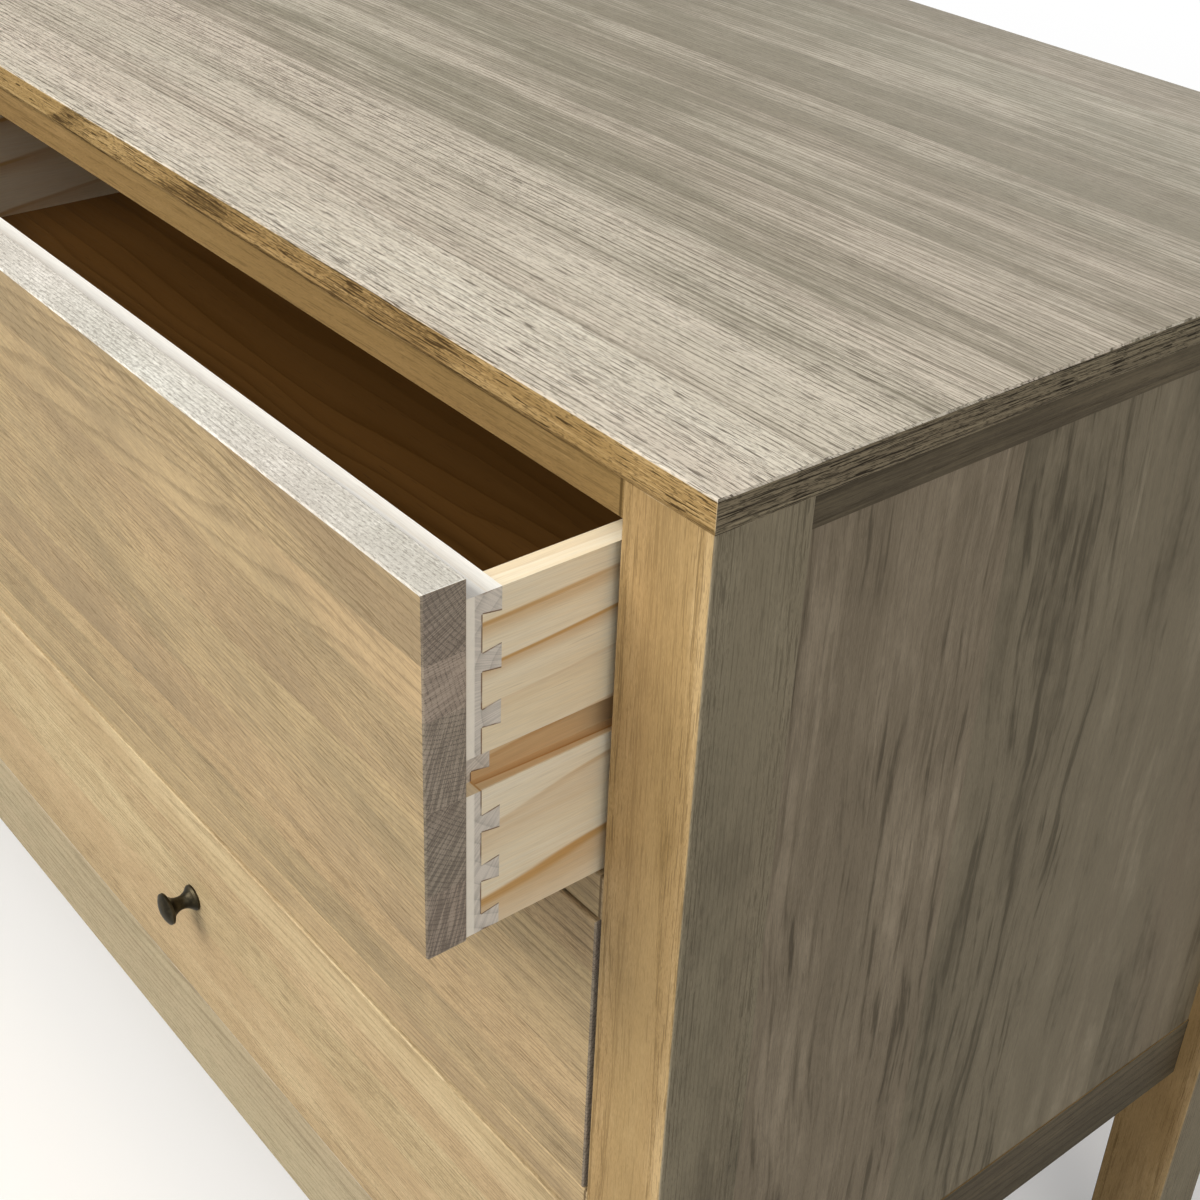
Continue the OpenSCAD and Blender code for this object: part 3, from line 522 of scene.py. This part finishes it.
def dovetail_lines(g, place, node):
    """The thin dark gaps round the pins that show on the ends of a box's front board."""
    low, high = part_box(node)
    _, y, z = g.split(place)
    pitch = (high.z - low.z - 2 * END_PIN) / TAILS
    from_pin = g.math("PINGPONG", g.math("ADD", z, -low.z - END_PIN), pitch / 2)
    from_back = g.math("SUBTRACT", high.y, y)
    half = g.math("SUBTRACT", PIN_HEIGHT / 2, g.math("MULTIPLY", from_back, PIN_TAPER))
    flank = g.math("ABSOLUTE", g.math("SUBTRACT", from_pin, half))
    in_tail = g.math("LESS_THAN", from_back, TAIL_LENGTH)
    base = g.math("ABSOLUTE", g.math("SUBTRACT", from_back, TAIL_LENGTH))
    in_base = g.math("GREATER_THAN", from_pin, PIN_HEIGHT / 2 - TAIL_LENGTH * PIN_TAPER)
    full = PIN_GAP * GAP_CORE
    gaps = g.math("MAXIMUM", g.math("MULTIPLY", g.smooth(flank, PIN_GAP, full), in_tail),
                  g.math("MULTIPLY", g.smooth(base, PIN_GAP, full), in_base))
    return g.math("MULTIPLY", gaps, g.smooth(g.noise(place, even(GAP_NOISE)), *GAP_BREAKS))


def edge_wear_and_highlight(g, place, node, width, strength):
    """Edges lighter as wear and as a painted highlight: the strength on the outer edges of a node's box and 0
    from width inwards, broken up by noise.
    """
    low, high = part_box(node)
    inside = g.vector("SUBTRACT", g.vector("ABSOLUTE", g.vector("SUBTRACT", place, (low + high) / 2)),
                      (high - low) / 2)
    x, y, z = g.split(inside)
    middle = g.math("MAXIMUM", g.math("MINIMUM", x, y), g.math("MINIMUM", g.math("MAXIMUM", x, y), z))
    middle = g.math("ADD", middle, g.swing(place, even(WEAR_NOISE), width * WEAR_DRIFT, WEAR_DETAIL))
    return g.smooth(middle, -width, -width * WEAR_CORE, 0.0, strength)


def groove_shade_mask(g, parts, low, high):
    """1 inside the runner grooves of a drawer's box sides, away from the sides' own faces, where painted
    shade darkens them.
    """
    middle = (low["X"] + high["X"]) / 2
    depth = g.math("SUBTRACT", high["X"] - middle, g.math("ABSOLUTE", g.math("SUBTRACT", parts["X"], middle)))
    off_edge = g.math("SUBTRACT", (high["Z"] - low["Z"]) / 2,
                      g.math("ABSOLUTE", g.math("SUBTRACT", parts["Z"], (low["Z"] + high["Z"]) / 2)))
    inside = g.math("MULTIPLY", g.smooth(depth, *GROOVE_EDGE), g.math("LESS_THAN", depth, GROOVE_REACH))
    return g.math("MULTIPLY", inside, g.math("GREATER_THAN", off_edge, GROOVE_REACH))


def post_edges(g, place, parts, normals, node, contrast, lined):
    """More contrast towards a post's edges and a painted highlight on its outer front edge: contrast and
    added tone.
    """
    low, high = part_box(node)
    half = (high - low) / 2
    centred = g.vector("ABSOLUTE", g.vector("SUBTRACT", place, low + half))
    inside = g.split(g.vector("SUBTRACT", centred, half))
    from_edge = g.math("MINIMUM", inside[0], inside[1])
    strong, faint = LINES_FADE
    contrast = g.smooth(from_edge, -half.x * faint, -half.x * strong, contrast, contrast + lined)
    outer = max(abs(low.x), abs(high.x))
    edge_highlight = g.smooth(g.math("ABSOLUTE", parts["X"]), outer - HIGHLIGHT_EDGE_WIDTH, outer, 0.0, HIGHLIGHT_LIFT)
    return contrast, g.math("MULTIPLY", edge_highlight, normals["Y"])


def random_boards(seed, count):
    """The boards of a glued-up panel, drawn from a seed."""
    draw = random.Random(seed)
    return [Board(draw.uniform(-0.03, 0.03), draw.uniform(-0.02, 0.04),
                  draw.uniform(-TONE_SPREAD, TONE_SPREAD) / 2, draw.uniform(1.0, 9.0),
                  draw.uniform(-0.1, 0.1), draw.uniform(0.8, 1.1)) for _ in range(count)]


def stepped(g, steps, values):
    """A value that changes from board to board; steps are 0 before each seam and 1 after it."""
    total = values[0]
    for step, before, after in zip(steps, values, values[1:]):
        total = g.math("ADD", total, g.math("MULTIPLY", step, after - before))
    return total


def face_colours(g, faces, weights, label):
    """The named colour of each face direction, blended by how far the surface looks that way, which paints
    light and shade by facing.
    """
    colour = rgb(faces["Y"][label])
    for axis in "XZ":
        if faces[axis][label] != faces["Y"][label]:
            colour = g.mix(weights[axis], colour, rgb(faces[axis][label]))
    return colour


def timber(name, node, tree, faces, along, facing, seed=0.0, pith=(0.1, 0.08), slope=0.0, wander=0.012,
           pitch=0.0028, tone=0.0, wear=0.0006, worn=0.5, contrast=0.6, stripe=0.7, seams=(), boards=None,
           from_top=False, joints=(), lipped=False, dovetailed=False, lean=0.0, bend=0.003, lined=0.0,
           mottle=0.7, flecks=0.0, edge_contrast=None, grooved=False, end_tones=()):
    """A wood material for one node: grain along one axis, its wide face along another.

    pith is the distance from the piece's middle to the centre of the tree, across and deep; slope and
    wander bend the rings along the grain and pitch is the width of a ring. wear is the width of the worn
    edges and worn their strength; these edges are lighter as wear and as a painted highlight on the arris.
    seams are the board edges of a glued-up panel, measured from its low side or, from_top, from its upper
    edge, and boards say how each board differs. joints are the places along the grain where the piece
    meets its neighbours. A lipped panel has long grain on its ends too. A dovetailed board has its pins
    outlined and a light strip, a painted highlight, on its ends. lean tilts the grain lines and bend waves
    them; stripe and mottle vary the tone, flecks add short dark streaks. lined is for posts: it adds
    contrast towards their edges and lightens their outer front edge as a painted highlight. edge_contrast
    holds on all faces but the upper one. A grooved side is darker and browner inside its groove, as
    painted shade. end_tones lighten each board's end grain.
    """
    material, g, shader = new_material(name)
    coordinates = g.add("TexCoord").outputs
    place = coordinates["Object"]
    parts = dict(zip("XYZ", g.split(place)))
    normals = {axis: g.math("ABSOLUTE", value) for axis, value in zip("XYZ", g.split(coordinates["Normal"]))}
    side = next(axis for axis in "XYZ" if axis not in (along, facing))
    low, high = (dict(zip("XYZ", corner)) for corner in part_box(node))
    end = g.smooth(normals[along], *END_TURN)
    grain = g.join(parts[along], parts[side], parts[facing])
    if lipped:
        lip, end = end, 0.0
        grain = g.mix(lip, grain, g.join(parts[side], parts[facing], parts[along]))
    pith_across = (low[side] + high[side]) / 2 + pith[0]
    pith_deep = (low[facing] + high[facing]) / 2 + pith[1]
    shift_along, shift_across, shift_deep = (seed * share for share in SEED_SHIFT)
    blush, end_tone = 0.0, 0.0
    if seams:
        from_edge = (g.math("SUBTRACT", high[side], parts[side]) if from_top
                     else g.math("SUBTRACT", parts[side], low[side]))
        steps = [g.math("GREATER_THAN", from_edge, seam) for seam in seams]
        if lipped:
            steps = [g.math("MULTIPLY", step, g.math("SUBTRACT", 1.0, lip)) for step in steps]
        boards = Board(*zip(*(boards or random_boards(seed, len(seams) + 1))))
        pith_across = g.math("ADD", pith_across, stepped(g, steps, boards.across))
        pith_deep = g.math("ADD", pith_deep, stepped(g, steps, boards.deep))
        tone = g.math("ADD", tone, stepped(g, steps, boards.tone))
        shift_along = stepped(g, steps, boards.shift)
        blush = stepped(g, steps, boards.blush)
        figure_strength = stepped(g, steps, boards.figure)
        contrast = g.math("MULTIPLY", contrast, figure_strength)
        flecks = g.math("MULTIPLY", flecks, figure_strength)
        if end_tones:
            end_tone = stepped(g, steps, end_tones)
    wave = g.swing(g.vector("ADD", grain, g.join(shift_along, seed, 0.0)), BEND_NOISE, bend, BEND_DETAIL)
    wave = g.math("ADD", wave, g.math("MULTIPLY", g.split(grain)[0], lean))
    moved = g.vector("ADD", grain, g.join(shift_along, g.math("ADD", wave, shift_across), shift_deep))
    if lined:
        # Posts get more contrast towards their edges and a painted highlight on their outer front edge
        contrast, edge_highlight = post_edges(g, place, parts, normals, node, contrast, lined)
        tone = g.math("ADD", tone, edge_highlight)
    if dovetailed:
        seam = g.math("MULTIPLY", dovetail_lines(g, place, node), end)
        # A light strip on the box front's ends: a painted highlight on its eased edge
        strip = low["Y"] + END_STRIP
        worn_and_lit_edges = g.math("MULTIPLY", g.smooth(parts["Y"], strip, strip - STRIP_BLUR, 0.0, worn), end)
    else:
        seam = 0.0
        # Lighter edges: wear and a painted highlight on the arris
        worn_and_lit_edges = edge_wear_and_highlight(g, place, node, wear, worn) if wear else 0.0
    for joint in joints:
        gap = g.math("ABSOLUTE", g.math("SUBTRACT", parts[along], joint))
        dark = g.smooth(gap, JOINT_WIDTH, JOINT_WIDTH * JOINT_CORE, 0.0, JOINT_DARKNESS)
        seam = g.math("MAXIMUM", seam, dark)
    weights = {axis: g.smooth(normals[axis], *FACE_TURN) for axis in "XZ"}
    weights["Z"] = g.math("MULTIPLY", weights["Z"], g.math("GREATER_THAN", parts["Z"], high["Z"] - RIM_DEPTH))
    if edge_contrast:
        contrast = g.smooth(normals["Z"], *END_TURN, edge_contrast, contrast)
    figure = g.add("Group", node_tree=tree)
    for label, value in {
        "Grain": grain, "Moved": moved, "Seed": seed, "Pith across": pith_across, "Pith deep": pith_deep,
        "Slope": slope, "Wander": wander, "Pitch": pitch, "Tone": tone, "End": end, "Seam": seam,
        "Wear and highlight": worn_and_lit_edges, "Contrast": contrast, "Stripe": stripe, "Blush": blush, "Mottle": mottle,
        "Flecks": flecks, "End tone": end_tone, "End colour": face_colours(g, faces, weights, "End"),
    }.items():
        g.put(figure.inputs[label], value)
    for label in ("Light", "Middle", "Dark", "Pore", "Worn and highlight"):
        g.put(figure.inputs[label], face_colours(g, faces, weights, label))
    colour = figure.outputs["Color"]
    if grooved:
        # Darker and browner inside the groove: painted shade in the recess
        colour = g.mix(groove_shade_mask(g, parts, low, high), colour, GROOVE_SHADE_TINT, "MULTIPLY")
    g.put(shader.inputs["Base Color"], colour)
    g.put(shader.inputs["Roughness"], figure.outputs["Roughness"])
    shader.inputs["Specular IOR Level"].default_value = WOOD_SPECULAR
    emboss(g, shader, figure.outputs["Height"], *WOOD_RELIEF)
    dress(node, material)


def bronze(node, seed):
    """Dark oiled bronze: brown-black, a little warmer where hands have worn its rims."""
    material, g, shader = new_material("bronze_" + node)
    place = g.add("TexCoord").outputs["Object"]
    moved = g.vector("ADD", place, even(seed))
    patch = g.noise(moved, even(160.0), 4.0, 0.6)
    low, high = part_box(node)
    centre = (low + high) / 2
    x, y, z = g.split(g.vector("SUBTRACT", place, (centre.x, low.y, centre.z)))
    radius = g.math("SQRT", g.math("ADD", g.math("MULTIPLY", x, x), g.math("MULTIPLY", z, z)))
    rim = g.smooth(g.math("ADD", radius, g.math("MULTIPLY", patch, KNOB_DRIFT)), *KNOB_RIM)
    worn = g.math("MULTIPLY", rim, g.smooth(y, *KNOB_WEAR), clamp=True)
    colour = g.mix(g.smooth(patch, 0.35, 0.7), rgb("#2a2519"), rgb("#4a4332"))
    colour = g.mix(g.math("MULTIPLY", worn, 0.6), colour, rgb("#6b5a44"))
    g.put(shader.inputs["Base Color"], colour)
    rough = g.math("ADD", g.smooth(patch, 0.3, 0.7, 0.34, 0.5), g.math("MULTIPLY", worn, -0.1))
    g.put(shader.inputs["Roughness"], rough)
    shader.inputs["Metallic"].default_value = 0.85
    emboss(g, shader, g.noise(moved, even(1400.0), 2.0), 0.25)
    dress(node, material)


def steel():
    """Zinc-plated steel: pale grey with the faint spangle and scuffs of the plating."""
    material, g, shader = new_material("zinc_steel")
    place = g.add("TexCoord").outputs["Object"]
    spangle = g.noise(place, even(700.0), 3.0)
    scuff = g.noise(place, (260.0, 260.0, 2200.0), 2.0)
    g.put(shader.inputs["Base Color"], g.mix(g.smooth(spangle, 0.3, 0.7), rgb("#a9abad"), rgb("#c9cacb")))
    g.put(shader.inputs["Roughness"], g.smooth(scuff, 0.3, 0.7, 0.28, 0.46))
    shader.inputs["Metallic"].default_value = 1.0
    emboss(g, shader, scuff, 0.15)
    return material


def plastic():
    """Moulded dark plastic with a fine matt texture and a little dust."""
    material, g, shader = new_material("glide_plastic")
    place = g.add("TexCoord").outputs["Object"]
    dust = g.noise(place, even(90.0), 3.0)
    g.put(shader.inputs["Base Color"], g.mix(g.smooth(dust, 0.45, 0.8), rgb("#322f2c"), rgb("#5f5a54")))
    g.put(shader.inputs["Roughness"], g.smooth(dust, 0.3, 0.8, 0.5, 0.8))
    emboss(g, shader, g.noise(place, even(1900.0), 2.0), 0.3)
    return material


def dress_carcass():
    timber("oak_top", "top_panel", OAK, TOP_FACES, "X", "Z", seed=3.0, slope=0.012, wander=0.006,
           seams=TOP_SEAMS, boards=TOP_BOARDS, wear=0.0005, worn=0.4, contrast=0.7, stripe=0.55,
           lipped=True, mottle=0.5, edge_contrast=1.05)
    for number, side in enumerate(COLUMNS):
        for end in ("front", "rear"):
            node = f"post_{end}_{side}"
            timber("oak_" + node, node, OAK, CARCASS_OAK, "Z", "Y", seed=5.0 + number + 2.3 * (end == "rear"),
                   pith=(-0.002, 0.034), slope=0.004, wander=0.004, pitch=0.0021, wear=0.0005, worn=0.35,
                   contrast=0.24, stripe=0.22, lined=0.2, bend=0.0015, mottle=1.5, tone=-0.06)
        node = f"side_panel_{side}"
        timber("oak_" + node, node, OAK, PLAIN_PANEL, "Z", "X", seed=11.0 + number, slope=0.03,
               wander=0.012, pitch=0.011, seams=SIDE_SEAMS, boards=SIDE_BOARDS, wear=0.0, contrast=0.15,
               stripe=0.6, bend=0.022, mottle=1.4, flecks=0.4)
    post_low, post_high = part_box("post_front_right")
    rear_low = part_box("post_rear_right")[0]
    # The top rail's tone of -0.5 is painted shade under the top's overhang
    for number, (node, faces, tone) in enumerate((
            ("front_top_rail", CARCASS_OAK, -0.5), ("front_bottom_rail", APRON_FACES, -0.1),
            ("front_divider_rails", DRAWER_FACES, -0.2))):
        timber("oak_" + node, node, OAK, faces, "X", "Y", seed=21.0 + number, pith=(0.05, 0.07), tone=tone,
               slope=0.008, wander=0.008, wear=0.0, contrast=0.4, stripe=0.45,
               joints=(-post_low.x + JOINT_OFFSET, post_low.x - JOINT_OFFSET))
    timber("oak_stile", "centre_stile", OAK, CARCASS_OAK, "Z", "Y", seed=27.0, pith=(0.0, 0.04), wear=0.0,
           contrast=0.45)
    # The side rails' darker colours and tone of -0.34 are painted shade under the top's overhang
    timber("oak_side_rails", "side_rails", OAK, SIDE_RAIL_FACES, "Y", "X", seed=31.0, pith=(0.03, 0.06),
           wear=0.0, contrast=0.3, stripe=0.4, tone=-0.34, joints=(post_high.y, rear_low.y))
    timber("pine_partition", "centre_partition", PINE, BOX_FACES, "Z", "X", seed=33.0, pitch=0.009)
    timber("pine_back_rails", "back_rails", PINE, BOX_FACES, "X", "Y", seed=35.0, pitch=0.008, wear=0.0)
    timber("plywood_back", "back_panel", PINE, PLAIN_BACK, "X", "Y", seed=37.0, pith=(0.1, 0.04),
           pitch=0.012, wander=0.04, wear=0.0)
    timber("oak_runners", "drawer_runners", OAK, PLAIN_RUNNER, "Y", "X", seed=39.0, wear=0.0)
    dress("carcass_screws", steel())
    dress("foot_glides", plastic())


def dress_drawers():
    metal = steel()
    for number, drawer in enumerate(DRAWERS):
        seed = 41.0 + 3 * number
        row = drawer.split("_")[0]
        timber("oak_" + drawer, drawer + "_front", OAK, along="X", facing="Y", seed=seed, pith=(0.09, 0.05),
               slope=0.015, wander=0.008, pitch=0.0019, seams=FRONT_SEAMS, from_top=True,
               tone=ROW_LIGHT_AND_SHADE[row], wear=0.0005, contrast=0.46, bend=0.012, mottle=1.0,
               **(TOP_ROW if row == "top" else OTHER_ROWS))
        timber("pine_front_" + drawer, drawer + "_box_front", PINE, BOX_FACES, "X", "Y", seed=seed + 0.3,
               pith=(0.03, 0.05), pitch=0.007, worn=0.85, contrast=0.12, dovetailed=True)
        timber("pine_sides_" + drawer, drawer + "_box_sides", PINE, BOX_SIDE_FACES, "Y", "X",
               seed=seed + 0.6, pith=(-0.128, 0.02), slope=-0.03, wander=0.0045, pitch=0.0088, wear=0.0,
               contrast=0.12, grooved=True)
        timber("pine_back_" + drawer, drawer + "_box_back", PINE, BOX_FACES, "X", "Y", seed=seed + 0.9,
               pitch=0.008)
        # The drawer bottoms are dark brown: painted shade inside the drawer
        timber("plywood_" + drawer, drawer + "_box_bottom", PINE, PLAIN_SHADED_PLYWOOD, "X", "Z", seed=seed + 1.2,
               pith=(0.05, 0.05), pitch=0.012, wander=0.03, wear=0.0)
        bronze(drawer + "_knob", seed)
        dress(drawer + "_screws", metal)


def place_camera():
    """Looks at the top's front right corner from the photograph's own point and angle."""
    azimuth, down, roll = (math.radians(a) for a in (CAMERA_AZIMUTH, CAMERA_DOWN, CAMERA_ROLL))
    forward = Vector((-math.sin(azimuth) * math.cos(down), math.cos(azimuth) * math.cos(down),
                      -math.sin(down)))
    level = Vector((math.cos(azimuth), math.sin(azimuth), 0.0))
    below = forward.cross(level)
    right = math.cos(roll) * level - math.sin(roll) * below
    up = -(math.sin(roll) * level + math.cos(roll) * below)
    low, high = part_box("top_panel")
    camera = bpy.data.objects.new("camera", bpy.data.cameras.new("camera"))
    bpy.context.scene.collection.objects.link(camera)
    camera.matrix_world = Matrix.Translation(Vector((high.x, low.y, high.z)) + EYE_FROM_CORNER) @ \
        Matrix((right, up, -forward)).transposed().to_4x4()
    camera.data.sensor_width = SENSOR_MM
    camera.data.lens = FOCAL_PX / FRAME_PX * SENSOR_MM
    camera.data.clip_start = CLIP_START
    bpy.context.scene.camera = camera


def area_light(name, place, target, size, power, colour):
    light = bpy.data.lights.new(name, "AREA")
    light.shape = "RECTANGLE"
    light.size, light.size_y = size
    light.energy = power
    light.color = colour
    lamp = bpy.data.objects.new(name, light)
    bpy.context.scene.collection.objects.link(lamp)
    lamp.location = place
    lamp.rotation_euler = (Vector(target) - Vector(place)).to_track_quat("-Z", "Y").to_euler()


def light_studio():
    """Hangs the lights and makes a dim sky that is seen as white."""
    for name, settings in LIGHTS.items():
        area_light(name, *settings)
    world = bpy.data.worlds.new("sky")
    bpy.context.scene.world = world
    world.use_nodes = True
    world.node_tree.nodes.clear()
    g = Graph(world.node_tree)
    path = g.add("LightPath").outputs
    seen = g.math("MAXIMUM", path["Is Camera Ray"],
                  g.math("MAXIMUM", path["Is Glossy Ray"], path["Is Transmission Ray"]))
    sky = g.add("Background", {"Color": WHITE, "Strength": g.smooth(seen, 0.0, 1.0, SKY_LIGHT, SKY_SEEN)})
    g.tree.links.new(sky.outputs[0], g.add("OutputWorld").inputs["Surface"])


def lay_floor():
    """A plain pale floor that takes the object's shadow and turns white to the camera further out."""
    mesh = bpy.data.meshes.new("floor")
    corners = [(x * FLOOR_REACH, y * FLOOR_REACH, 0) for x, y in ((-1, -1), (1, -1), (1, 1), (-1, 1))]
    mesh.from_pydata(corners, [], [(0, 1, 2, 3)])
    floor = bpy.data.objects.new("floor", mesh)
    bpy.context.scene.collection.objects.link(floor)
    material, g, shader = new_material("floor_white")
    camera = g.add("LightPath").outputs["Is Camera Ray"]
    place = g.add("TexCoord").outputs["Object"]
    distance = g.add("VectorMath", {0: place}, operation="LENGTH").outputs["Value"]
    glow = g.math("MULTIPLY", camera, g.smooth(distance, *FLOOR_WHITENING))
    pale = g.mix(camera, rgb("#c4c3c0"), rgb("#fbfbfb"))
    g.put(shader.inputs["Base Color"], g.mix(glow, pale, BLACK))
    shader.inputs["Emission Color"].default_value = WHITE
    g.put(shader.inputs["Emission Strength"], glow)
    shader.inputs["Roughness"].default_value = 0.9
    shader.inputs["Specular IOR Level"].default_value = 0.0
    mesh.materials.append(material)


place_camera()
dress_carcass()
dress_drawers()
light_studio()
lay_floor()
bpy.context.scene.view_settings.view_transform = "Standard"
